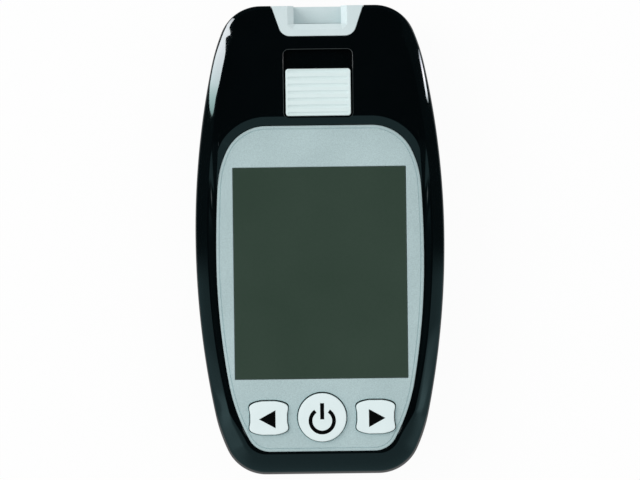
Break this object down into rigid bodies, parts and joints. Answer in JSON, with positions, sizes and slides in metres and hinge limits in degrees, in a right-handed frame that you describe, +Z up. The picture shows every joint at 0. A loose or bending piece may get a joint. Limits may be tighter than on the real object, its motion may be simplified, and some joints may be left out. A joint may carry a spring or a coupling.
{
  "type": "blood glucose meter",
  "caption": "Handheld blood glucose meter lying on its back, with a sunk face plate, display window, push buttons, strip port, ejector slide and sliding battery cover.",
  "frame": {"origin": "middle of the flat back, on the surface that the meter lies on", "axes": "+X to the right of the display, +Y to the strip port end, +Z up out of the display"},
  "size_m": [0.0532, 0.1, 0.0209],
  "materials": {
    "case_black": "high gloss moulded black",
    "plate_silver": "fine metallic silver lacquer",
    "window": "flat window over an unlit grey-green display",
    "display": "grey-green liquid crystal glass",
    "seal_rubber": "soft foam and silicone",
    "cap_white": "satin cool white plastic",
    "inner_white": "plain moulded plastic",
    "part_black": "matt component plastic",
    "board_green": "solder resist",
    "contact_gold": "gold flash",
    "cell_steel": "bright nickel",
    "spring_steel": "plated steel"
  },
  "bodies": {
    "housing": {"front_case": "case_black", "rear_case": "case_black", "face_plate": "plate_silver", "display_lens": "window", "display_gasket": "seal_rubber", "display_glass": "display", "display_frame": "inner_white", "connector_strip": "seal_rubber", "power_switch": "part_black", "left_switch": "part_black", "right_switch": "part_black", "strip_port": "cap_white", "eject_spring": "spring_steel", "strip_connector": "part_black", "strip_contacts": "contact_gold", "main_board": "board_green", "main_chip": "part_black", "memory_chip": "part_black", "crystal": "spring_steel", "buzzer": "part_black", "board_screws": "spring_steel", "lower_cell": "cell_steel", "upper_cell": "cell_steel", "lower_cell_leaf": "spring_steel", "upper_cell_leaf": "spring_steel", "lower_cell_side_contact": "spring_steel", "upper_cell_side_contact": "spring_steel", "case_screws": "spring_steel"},
    "power_key": {"power_button": "cap_white", "power_plunger": "inner_white"},
    "left_key": {"left_button": "cap_white", "left_plunger": "inner_white"},
    "right_key": {"right_button": "cap_white", "right_plunger": "inner_white"},
    "ejector": {"eject_pad": "cap_white", "eject_carriage": "inner_white", "slide_screw": "spring_steel"},
    "cover": {"battery_cover": "case_black"}
  },
  "joints": [
    {"name": "power_press", "type": "slide", "parent": "housing", "child": "power_key", "axis": [0, 0, -1], "range_m": [0, 0.0005], "stiffness_N_per_m": 800, "springref_m": -0.0005},
    {"name": "left_press", "type": "slide", "parent": "housing", "child": "left_key", "axis": [0, 0, -1], "range_m": [0, 0.0005], "stiffness_N_per_m": 800, "springref_m": -0.0005},
    {"name": "right_press", "type": "slide", "parent": "housing", "child": "right_key", "axis": [0, 0, -1], "range_m": [0, 0.0005], "stiffness_N_per_m": 800, "springref_m": -0.0005},
    {"name": "eject_slide", "type": "slide", "parent": "housing", "child": "ejector", "axis": [0, 1, 0], "range_m": [0, 0.00375], "stiffness_N_per_m": 150, "springref_m": -0.002, "deforming": ["eject_spring"]},
    {"name": "cover_slide", "type": "slide", "parent": "housing", "child": "cover", "axis": [0, -1, 0], "range_m": [0, 0.047]}
  ]
}
